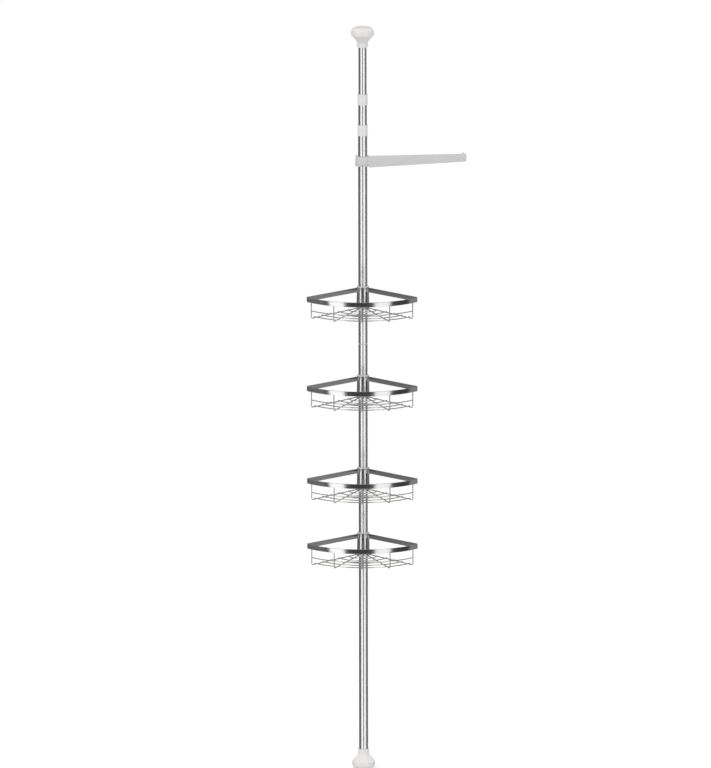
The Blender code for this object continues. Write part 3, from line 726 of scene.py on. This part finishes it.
def coil_path(radius, wire, length, turns, steps=32):
    """List points along a compression spring that stands at Z = 0. Its first and last turns are closed."""
    closed = 2 * wire + COIL_GAP
    rise = length - 2 * wire
    pitch = (rise - 2 * closed) / (turns - 2)
    path = []
    for step in range(turns * steps + 1):
        turn = step / steps
        height = closed * min(turn, 1.0) + pitch * min(max(turn - 1.0, 0.0), turns - 2.0)
        height += closed * max(turn - turns + 1.0, 0.0)
        angle = math.tau * turn
        path.append((radius * math.cos(angle), radius * math.sin(angle), wire + height))
    return path


class CADDY_OT_inner_parts(bpy.types.Operator):
    """Make the spring, and give the bushes, plugs and seat inside the pole their finish."""

    bl_idname = "caddy.inner_parts"
    bl_label = "Inner parts"

    def execute(self, context):
        for node in ("end_bush", "spring_seat", "spring_tube_plug", "lock_collet", "upper_tube_plug"):
            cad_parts[node].material_slots[0].material = finish(context, "moulded_natural_nylon")
        sizes = context.scene.caddy.pole
        wire = sizes.spring_wire
        length = SPRING_HIGH.z - SPRING_LOW.z
        shape = bmesh.new()
        path = coil_path(SPRING_HIGH.x - wire, wire, length, sizes.spring_turns)
        sweep_wire(shape, path, wire, (0.0, 0.0, 1.0))
        coil = put(context, "tension_spring_coil", shape, "mast", ["tension_spring"],
                   "drawn_spring_wire", SPRING_LOW.z)
        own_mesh(coil)
        return {"FINISHED"}


# ---------------------------------------------------------------- wedge clips
def clip_half(sizes, steps, side, bore, length, flange_radius):
    """Half of a wedge clip, with its flange's underside at Z = 0 and its split face closed."""
    top = bore + sizes.clip_wall
    foot = top + sizes.clip_taper
    outline = [
        (top, length), (foot, sizes.clip_flange), (flange_radius, sizes.clip_flange),
        (flange_radius, 0.0), (bore, 0.0), (bore, length),
    ]
    shape = turned(eased(outline, THIN_EDGE), steps)
    everything = shape.verts[:] + shape.edges[:] + shape.faces[:]
    cut = bmesh.ops.bisect_plane(
        shape, geom=everything, plane_co=(side * sizes.clip_split / 2, 0.0, 0.0),
        plane_no=(side, 0.0, 0.0), clear_inner=True)
    edges = [part for part in cut["geom_cut"] if isinstance(part, bmesh.types.BMEdge)]
    bmesh.ops.holes_fill(shape, edges=edges, sides=0)
    return shape


class CADDY_OT_clips(bpy.types.Operator):
    """Make the two halves of each wedge clip: four pairs under the baskets and one in the towel bar."""

    bl_idname = "caddy.clips"
    bl_label = "Wedge clips"

    def execute(self, context):
        sizes = context.scene.caddy.basket
        steps = context.scene.caddy.pole.round_steps
        looks = [(f"{name}_clip", "moulded_white_polypropylene") for name in BASKETS]
        looks.append(("towel_clip", "moulded_grey_abs"))
        for body, look in looks:
            for side, sign in (("left", -1), ("right", 1)):
                node = f"{body}_{side}"
                low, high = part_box(node)
                flange = max(abs(low.x), abs(high.x))
                shape = clip_half(sizes, steps, sign, TUBE_RADIUS + FIT, high.z - low.z, flange)
                put(context, f"{node}_moulding", shape, body, [node], look, low.z)
        return {"FINISHED"}


# ---------------------------------------------------------------- baskets
# A wedge clip rises this far above its sleeve.
CLIP_RISE = 0.002
# How far the band's ends and the floor wires reach into the sleeve, and how high on it the wires arrive.
BAND_SINK = 0.0006
WIRE_SINK = 0.0004
WIRE_HEIGHT_ON_SLEEVE = 0.004
# Half sizes of the weld beads, outward, across and up, by what they join the wires to.
BAND_WELD = (0.0007, 0.0015, 0.0042)
GUARD_WELD = (0.0009, 0.0018, 0.0018)
SLEEVE_WELD = (0.0010, 0.0021, 0.0021)
FLOOR_WELD = (0.0018, 0.0018, 0.0009)
# The middle of a band's weld is this far above its lower edge, and that of a sleeve's this far out from it.
BAND_WELD_RISE = 0.006
SLEEVE_WELD_OUT = 0.0002


def basket_height(name):
    """Height of the middle of a basket's band."""
    low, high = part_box(f"{name}_rim")
    return (low.z + high.z) / 2


def sleeve_radius(sizes, rise):
    """Outer radius of the sleeve at a height above its lower end."""
    length = SLEEVE_HIGH.z - SLEEVE_LOW.z
    taper = sizes.clip_taper * length / (length + CLIP_RISE)
    return SLEEVE_HIGH.x - taper * rise / length


class CADDY_OT_sleeves(bpy.types.Operator):
    """Make the tapered sleeve at the back of each basket, which drops over its clip."""

    bl_idname = "caddy.sleeves"
    bl_label = "Basket sleeves"

    def execute(self, context):
        sizes = context.scene.caddy.basket
        steps = context.scene.caddy.pole.round_steps
        length = SLEEVE_HIGH.z - SLEEVE_LOW.z
        bottom = sleeve_radius(sizes, 0.0)
        top = sleeve_radius(sizes, length)
        outline = [
            (top, length), (bottom, 0.0), (bottom - sizes.sleeve_wall, 0.0),
            (top - sizes.sleeve_wall, length),
        ]
        for name in BASKETS:
            shape = turned(eased(outline, SLEEVE_EDGE), steps)
            put(context, f"{name}_sleeve_plated", shape, name, [f"{name}_sleeve"],
                "bright_chrome_plating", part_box(f"{name}_sleeve")[0].z)
        return {"FINISHED"}


def front_centre(sizes):
    """Y of the centre of a basket's curved front."""
    return sizes.front_radius + RIM_LOW.y + sizes.band_thickness / 2


def side_directions(sizes):
    """Directions along a basket's straight side on the +X side, away from the pole, and out from it."""
    sine = math.sin(sizes.side_angle)
    cosine = math.cos(sizes.side_angle)
    return Vector((cosine, -sine)), Vector((sine, cosine))


def corner_centre(sizes):
    """Centre of the small arc between a basket's straight side, on the +X side, and its curved front."""
    centre = front_centre(sizes)
    along, outward = side_directions(sizes)
    shift = Vector((0.0, centre)) + outward * sizes.corner_radius
    reach = along.y * centre
    inside = (sizes.front_radius - sizes.corner_radius) ** 2 - shift.length_squared
    distance = reach + math.sqrt(reach ** 2 + inside)
    return along * distance - outward * sizes.corner_radius


def band_line(sizes, offset):
    """Points along a basket's band, moved outward by offset, from the sleeve round the front and back."""
    centre = front_centre(sizes)
    along, outward = side_directions(sizes)
    corner = corner_centre(sizes)
    turn_from = math.pi / 2 - sizes.side_angle
    turn_to = math.atan2(corner.y - centre, corner.x)
    sleeve = sleeve_radius(sizes, SLEEVE_HIGH.z - SLEEVE_LOW.z)
    line = [tuple(along * (sleeve - BAND_SINK) + outward * offset)]
    line += arc(corner, sizes.corner_radius + offset, turn_from, turn_to, steps=14)
    line += arc((0.0, centre), sizes.front_radius + offset, turn_to, -math.pi / 2, steps=40)[1:]
    return line + [(-x, y) for x, y in reversed(line[:-1])]


class CADDY_OT_bands(bpy.types.Operator):
    """Make the flat band round the top of each basket, with softened edges."""

    bl_idname = "caddy.bands"
    bl_label = "Basket bands"

    def execute(self, context):
        sizes = context.scene.caddy.basket
        half = sizes.band_thickness / 2
        tall = (RIM_HIGH.z - RIM_LOW.z) / 2
        section = eased([(half, tall), (half, -tall), (-half, -tall), (-half, tall)], sizes.band_edge)
        for name in BASKETS:
            shape = bmesh.new()
            strips = [
                [shape.verts.new((x, y, rise)) for x, y in band_line(sizes, offset)]
                for offset, rise in section]
            skin_row(shape, list(zip(*strips)))
            put(context, f"{name}_band_plated", shape, name, [f"{name}_rim"],
                "bright_chrome_plating", basket_height(name))
        return {"FINISHED"}


def upright_places(sizes):
    """Distance and direction from the pole's axis of each upright, on an arc just inside the band."""
    centre = front_centre(sizes)
    radius = sizes.front_radius - sizes.band_thickness / 2 - sizes.wire_radius - 2 * FIT
    half_width = corner_centre(sizes).x + sizes.corner_radius
    end = math.asin((half_width - sizes.end_upright_inset) / radius)
    places = []
    for number in range(sizes.uprights):
        angle = end * (2 * number / (sizes.uprights - 1) - 1)
        x = radius * math.sin(angle)
        y = centre - radius * math.cos(angle)
        places.append((math.hypot(x, y), math.atan2(y, x)))
    return places, radius, end


def add_upright(shape, sizes, distance, direction, floor):
    """Add a wire that drops from the band, bends under the floor and runs back to the sleeve."""
    bend = sizes.wire_bend
    top = (RIM_HIGH.z - RIM_LOW.z) / 2 - sizes.wire_radius
    side = [(distance, top)]
    side += arc((distance - bend, floor + bend), bend, 0.0, -math.pi / 2, steps=10)
    side.append((sleeve_radius(sizes, WIRE_HEIGHT_ON_SLEEVE) - WIRE_SINK, floor))
    path = [(reach * math.cos(direction), reach * math.sin(direction), height) for reach, height in side]
    sweep_wire(shape, path, sizes.wire_radius, (-math.sin(direction), math.cos(direction), 0.0))


def crossing_reach(centre, radius, direction):
    """Distance from the pole's axis, along a direction, to an arc about the front's centre."""
    toward = centre * math.sin(direction)
    return toward + math.sqrt(toward ** 2 + radius ** 2 - centre ** 2)


def add_front_arc(shape, sizes, radius, spread, height, steps):
    """Add a level wire that runs parallel to the front, spread to either side of the middle."""
    path = arc((0.0, front_centre(sizes)), radius, -math.pi / 2 - spread, -math.pi / 2 + spread, steps)
    sweep_wire(shape, [(x, y, height) for x, y in path], sizes.wire_radius, (0.0, 0.0, 1.0))


def wire_frame(sizes):
    """All the wires of one basket and the welds where they cross, about the middle of its band."""
    shape = bmesh.new()
    centre = front_centre(sizes)
    wire = sizes.wire_radius
    step = 2 * wire - sizes.weld_sink
    floor = WIRES_LOW.z + wire - basket_height("basket_1")
    places, arc_radius, end = upright_places(sizes)
    band_bottom = -(RIM_HIGH.z - RIM_LOW.z) / 2
    guard_height = band_bottom - sizes.guard_drop
    for distance, direction in places:
        add_upright(shape, sizes, distance, direction, floor)
        ahead = Vector((math.cos(direction), math.sin(direction), 0.0))
        from_centre = (ahead * distance - Vector((0.0, centre, 0.0))).normalized()
        turn = math.atan2(from_centre.y, from_centre.x)
        # A long bead joins the upright to the band, and a short one joins it to the guard wire.
        bead = ahead * distance + from_centre * (wire + FIT)
        add_weld(shape, bead + Vector((0.0, 0.0, band_bottom + BAND_WELD_RISE)), BAND_WELD, turn)
        bead = ahead * distance - from_centre * step / 2
        add_weld(shape, bead + Vector((0.0, 0.0, guard_height)), GUARD_WELD, turn)
        # Another joins the floor wire to the sleeve.
        foot = ahead * (sleeve_radius(sizes, WIRE_HEIGHT_ON_SLEEVE) + SLEEVE_WELD_OUT)
        add_weld(shape, foot + Vector((0.0, 0.0, floor)), SLEEVE_WELD, direction)
    guard = arc_radius - step
    add_front_arc(shape, sizes, guard, end + sizes.floor_overhang / guard, guard_height, steps=56)
    for number in range(sizes.floor_arcs):
        radius = arc_radius - sizes.floor_first - number * sizes.floor_pitch
        crossings = [(crossing_reach(centre, radius, direction), direction) for _, direction in places]
        last, direction = crossings[-1]
        spread = math.asin(last * math.cos(direction) / radius) + sizes.floor_overhang / radius
        add_front_arc(shape, sizes, radius, spread, floor + step, steps=48 - 6 * number)
        for away, direction in crossings:
            bead = Vector((away * math.cos(direction), away * math.sin(direction), floor + step / 2))
            add_weld(shape, bead, FLOOR_WELD, direction)
    return shape


class CADDY_OT_wire_frames(bpy.types.Operator):
    """Make the wires of each basket, with a weld wherever two of them cross."""

    bl_idname = "caddy.wire_frames"
    bl_label = "Basket wires"

    def execute(self, context):
        sizes = context.scene.caddy.basket
        for name in BASKETS:
            put(context, f"{name}_wires_plated", wire_frame(sizes), name, [f"{name}_wires"],
                "bright_chrome_plating", basket_height(name), sharp=60.0)
        return {"FINISHED"}


# ---------------------------------------------------------------- towel bar
# How far the arm's root reaches into the collar's foot, and the chamfer on its corners below the collar.
ARM_SINK = 0.0028
ARM_CHAMFER = 0.0008
# The stop lug: how far it is from the arm's tip, how far it reaches into the arm, the slope and radius of its
# edges, how far its two faces are rounded, and the share of its outline that is left on them.
LUG_INSET = 0.005
LUG_SINK = 0.002
LUG_EDGE = 0.0008
LUG_FACE_EDGE = 0.0006
LUG_FACE_SHARE = 0.8


def arm_slice(sizes, half, across, inset):
    """Outline of the arm at a distance across its thickness, drawn in by inset where its edge is rounded."""
    top = half + sizes.rise
    root = top - sizes.root_height + inset
    low = top - sizes.tip_height
    corner = sizes.corner
    middle = sizes.reach - corner
    start = math.sqrt((TOWEL_CLIP_HIGH.x - ARM_SINK) ** 2 - across ** 2)
    past_flange = math.sqrt((TOWEL_CLIP_HIGH.x + sizes.clearance) ** 2 - across ** 2) + inset
    outline = [(start, inset - half), (past_flange - ARM_CHAMFER, inset - half)]
    outline += [(past_flange, inset - half - ARM_CHAMFER), (past_flange, root + ARM_CHAMFER)]
    outline.append((past_flange + ARM_CHAMFER, root))
    outline += arc((middle, low + corner), corner - inset, -math.pi / 2, 0.0, steps=8)
    outline += arc((middle, top - corner), corner - inset, 0.0, math.pi / 2, steps=8)
    outline.append((start, top - inset))
    return outline


def add_arm(shape, sizes, half):
    """Add the arm, as slices across its thickness whose outlines draw in towards both faces."""
    edge = sizes.edge
    wide = sizes.thickness / 2
    steps = 6
    turns = [math.radians(90) * step / steps for step in range(steps + 1)]
    stations = [(edge * (1 - math.cos(turn)) - wide, edge * (1 - math.sin(turn))) for turn in turns]
    stations += [(-across, inset) for across, inset in reversed(stations)]
    rings = []
    for across, inset in stations:
        y = across - sizes.set_forward
        rings.append([shape.verts.new((x, y, z)) for x, z in arm_slice(sizes, half, y, inset)])
    skin_row(shape, rings)


def add_lug(shape, sizes, half):
    """Add the stop lug near the arm's tip, a small block with sloped ends and soft edges."""
    end = sizes.reach - LUG_INSET
    start = end - sizes.lug_length
    top = half + sizes.lug_height
    bottom = half - LUG_SINK
    outline = eased([
        (start, bottom), (end, bottom), (end, half), (end - LUG_EDGE, top), (start + LUG_EDGE, top),
        (start, half)], LUG_EDGE)
    middle = Vector(((start + end) / 2, half))
    face = sizes.thickness / 2 - LUG_EDGE
    side = face - LUG_FACE_EDGE
    rings = []
    for across, size in ((-face, LUG_FACE_SHARE), (-side, 1.0), (side, 1.0), (face, LUG_FACE_SHARE)):
        ring = [middle + (point - middle) * size for point in outline]
        rings.append([shape.verts.new((point.x, across - sizes.set_forward, point.y)) for point in ring])
    skin_row(shape, rings)


class CADDY_OT_towel_bar(bpy.types.Operator):
    """Make the towel bar: a tapered collar, an arm with rounded edges that gets slimmer, and a stop lug."""

    bl_idname = "caddy.towel_bar"
    bl_label = "Towel bar"

    def execute(self, context):
        sizes = context.scene.caddy.towel_bar
        clip = context.scene.caddy.basket
        bottom = TOWEL_CLIP_LOW.z + clip.clip_flange + FIT
        half = (TOWEL_CLIP_HIGH.z - bottom) / 2
        foot = TOWEL_CLIP_HIGH.x
        narrow = TUBE_RADIUS + clip.clip_wall + 2 * FIT
        wide = narrow + clip.clip_taper
        outline = [(foot - clip.clip_taper, half), (foot, -half), (wide, -half), (narrow, half)]
        shape = turned(eased(outline, COLLAR_EDGE), context.scene.caddy.pole.round_steps)
        add_arm(shape, sizes, half)
        add_lug(shape, sizes, half + sizes.rise)
        bmesh.ops.rotate(shape, verts=shape.verts, cent=(0.0, 0.0, 0.0),
                         matrix=Matrix.Rotation(sizes.turn, 3, "Z"))
        put(context, "towel_bar_moulding", shape, "towel_bar", ["towel_bar"], "moulded_grey_abs",
            bottom + half)
        return {"FINISHED"}


# ---------------------------------------------------------------- stage
# Light panels: angle round from the front and apparent width, both in degrees, and radiance. The radiance of
# the front panels and of the strips, which show only in the pole, is a share of the stage's panel glow.
FRONT_PANELS = (("left_panel", -43.0, 27.0, 1.0), ("right_panel", 34.0, 27.0, 0.9))
OTHER_PANELS = (
    ("left_side_panel", -86.0, 40.0, 0.15), ("right_side_panel", 98.0, 26.0, 0.28),
    ("back_left_panel", -148.0, 32.0, 0.6), ("back_right_panel", 148.0, 32.0, 0.6),
)
POLE_STRIPS = (
    ("left_strip", -19.5, 20.0, 0.85), ("right_strip", 15.0, 11.0, 0.7),
    ("right_outer_strip", 56.0, 20.0, 0.8),
)
# The key light's apparent width, its angle from straight down, and its turn from the front, here to the left.
KEY_WIDTH = math.radians(50)
KEY_TILT = math.radians(48)
KEY_TURN = math.radians(-12)
# Radiance of the soft light that comes from the horizon and below.
FILL = 0.76
# The camera sees this far.
FAR = 200.0


def add_panel(context, name, angle, spread, glow):
    """Add a tall panel that faces the pole and shows in metal. Its angle and spread are in degrees."""
    stage = context.scene.caddy.stage
    angle = math.radians(angle)
    away = stage.panel_distance
    width = 2 * away * math.tan(math.radians(spread) / 2)
    height = stage.panel_height
    lamp = bpy.data.lights.new(name, "AREA")
    lamp.shape = "RECTANGLE"
    lamp.size = width
    lamp.size_y = height
    lamp.energy = glow * math.pi * width * height
    panel = stand(context, name, lamp)
    panel.location = (away * math.sin(angle), -away * math.cos(angle), OBJECT_TOP / 2)
    panel.rotation_euler = (math.radians(90), 0.0, angle)
    panel.visible_camera = False
    panel.visible_diffuse = False
    return panel


def add_key_light(context):
    """Add the soft key light, high in front of the caddy. It lights matt surfaces and no metal mirrors it."""
    lamp = bpy.data.lights.new("key_light", "SUN")
    lamp.energy = context.scene.caddy.stage.key_glow * math.pi
    lamp.angle = KEY_WIDTH
    light = stand(context, "key_light", lamp)
    light.rotation_euler = (KEY_TILT, 0.0, KEY_TURN)
    light.visible_glossy = False


def light_sky(context):
    """Light the room: white where the camera looks past the caddy, and dim where the metal mirrors it."""
    sky = bpy.data.worlds.new("studio")
    sky.use_nodes = True
    sky.node_tree.nodes.clear()
    ray = add_node(sky, "ShaderNodeLightPath")
    place = add_node(sky, "ShaderNodeTexCoord")
    parts = add_node(sky, "ShaderNodeSeparateXYZ", inputs={"Vector": place.outputs["Generated"]})
    height = parts.outputs["Z"]
    white = (1.0, 1.0, 1.0, 1.0)
    seen = add_node(sky, "ShaderNodeBackground", inputs={"Color": white, "Strength": 1.0})
    # The soft light that falls on everything gets stronger towards the ceiling.
    overhead = add_node(sky, "ShaderNodeMapRange", inputs={
        "Value": height, "From Min": 0.0, "From Max": 1.0,
        "To Min": FILL, "To Max": FILL + context.scene.caddy.stage.sky_glow})
    fill = add_node(sky, "ShaderNodeBackground", inputs={"Color": white, "Strength": overhead})
    # The metal sees dark walls between a pale ceiling and a pale floor.
    level = add_node(sky, "ShaderNodeMath", settings={"operation": "ABSOLUTE"}, inputs={0: height})
    glow = add_node(sky, "ShaderNodeMapRange", inputs={
        "Value": level, "From Min": 0.3, "From Max": 0.75, "To Min": 0.05, "To Max": 0.6})
    dim = add_node(sky, "ShaderNodeBackground", inputs={"Color": (1.0, 0.99, 0.99, 1.0), "Strength": glow})
    room = add_node(sky, "ShaderNodeMixShader", inputs={0: ray.outputs["Is Glossy Ray"], 1: fill, 2: dim})
    whole = add_node(sky, "ShaderNodeMixShader", inputs={0: ray.outputs["Is Camera Ray"], 1: room, 2: seen})
    add_node(sky, "ShaderNodeOutputWorld", inputs={"Surface": whole})
    context.scene.world = sky


def add_floor(context):
    """Add the floor. Only the camera sees it: metal doesn't mirror it, and it neither shades nor lights."""
    shape = bmesh.new()
    bmesh.ops.create_grid(shape, x_segments=8, y_segments=8, size=context.scene.caddy.stage.floor_size / 2)
    floor = solid(context, "studio_floor", shape, "painted_floor")
    floor.visible_glossy = False
    floor.visible_diffuse = False
    floor.visible_shadow = False


def add_camera(context):
    """Add the camera, which looks slightly down at the caddy from far away."""
    stage = context.scene.caddy.stage
    lens = bpy.data.cameras.new("studio_camera")
    lens.lens = stage.lens
    lens.clip_end = FAR
    camera = stand(context, "studio_camera", lens)
    distance = stage.view_height * stage.lens / lens.sensor_width
    around = Matrix.Rotation(stage.azimuth, 4, "Z")
    tilt = Matrix.Rotation(math.radians(90) - stage.elevation, 4, "X")
    back = Matrix.Translation((0.0, 0.0, distance))
    roll = Matrix.Rotation(stage.roll, 4, "Z")
    camera.matrix_world = Matrix.Translation(Vector(stage.aim)) @ around @ tilt @ back @ roll
    context.scene.camera = camera


class CADDY_OT_stage(bpy.types.Operator):
    """Make the floor, the light panels, the room's light and the camera."""

    bl_idname = "caddy.stage"
    bl_label = "Stage"

    def execute(self, context):
        bright = context.scene.caddy.stage.panel_glow
        add_floor(context)
        for name, angle, width, share in FRONT_PANELS:
            add_panel(context, name, angle, width, share * bright)
        for name, angle, width, glow in OTHER_PANELS:
            add_panel(context, name, angle, width, glow)
        # The strips show only in the pole, whose bright bands are wider than those of the baskets.
        tubes = bpy.data.collections.new("pole_tubes")
        for node in TUBES:
            tubes.objects.link(bpy.data.objects[f"{node}_polished"])
        for name, angle, width, share in POLE_STRIPS:
            strip = add_panel(context, name, angle, width, share * bright)
            strip.light_linking.receiver_collection = tubes
        add_key_light(context)
        light_sky(context)
        add_camera(context)
        context.scene.view_settings.view_transform = "Standard"
        return {"FINISHED"}


# ---------------------------------------------------------------- panel and registration
STEPS = (
    CADDY_OT_tubes, CADDY_OT_tube_joints, CADDY_OT_cap_rings, CADDY_OT_feet, CADDY_OT_pads,
    CADDY_OT_inner_parts, CADDY_OT_clips, CADDY_OT_sleeves, CADDY_OT_bands, CADDY_OT_wire_frames,
    CADDY_OT_towel_bar, CADDY_OT_stage,
)


class CADDY_PT_build(bpy.types.Panel):
    """Buttons that build the caddy, piece by piece."""

    bl_idname = "CADDY_PT_build"
    bl_label = "Shower caddy"
    bl_space_type = "VIEW_3D"
    bl_region_type = "UI"
    bl_category = "Caddy"

    def draw(self, context):
        for step in STEPS:
            self.layout.operator(step.bl_idname)


GROUPS = (CaddyColours, PoleSizes, BasketSizes, TowelBarSizes, StageSizes, CaddySettings)
CLASSES = (*GROUPS, *STEPS, CADDY_PT_build)


def register():
    """Register the settings, operators and panel."""
    for kind in CLASSES:
        bpy.utils.register_class(kind)
    bpy.types.Scene.caddy = PointerProperty(type=CaddySettings)


def unregister():
    """Remove the settings, operators and panel."""
    del bpy.types.Scene.caddy
    for kind in reversed(CLASSES):
        bpy.utils.unregister_class(kind)


def main():
    """Build the caddy and its stage."""
    register()
    for step in STEPS:
        getattr(bpy.ops.caddy, step.bl_idname.split(".")[1])()


if __name__ == "__main__":
    main()
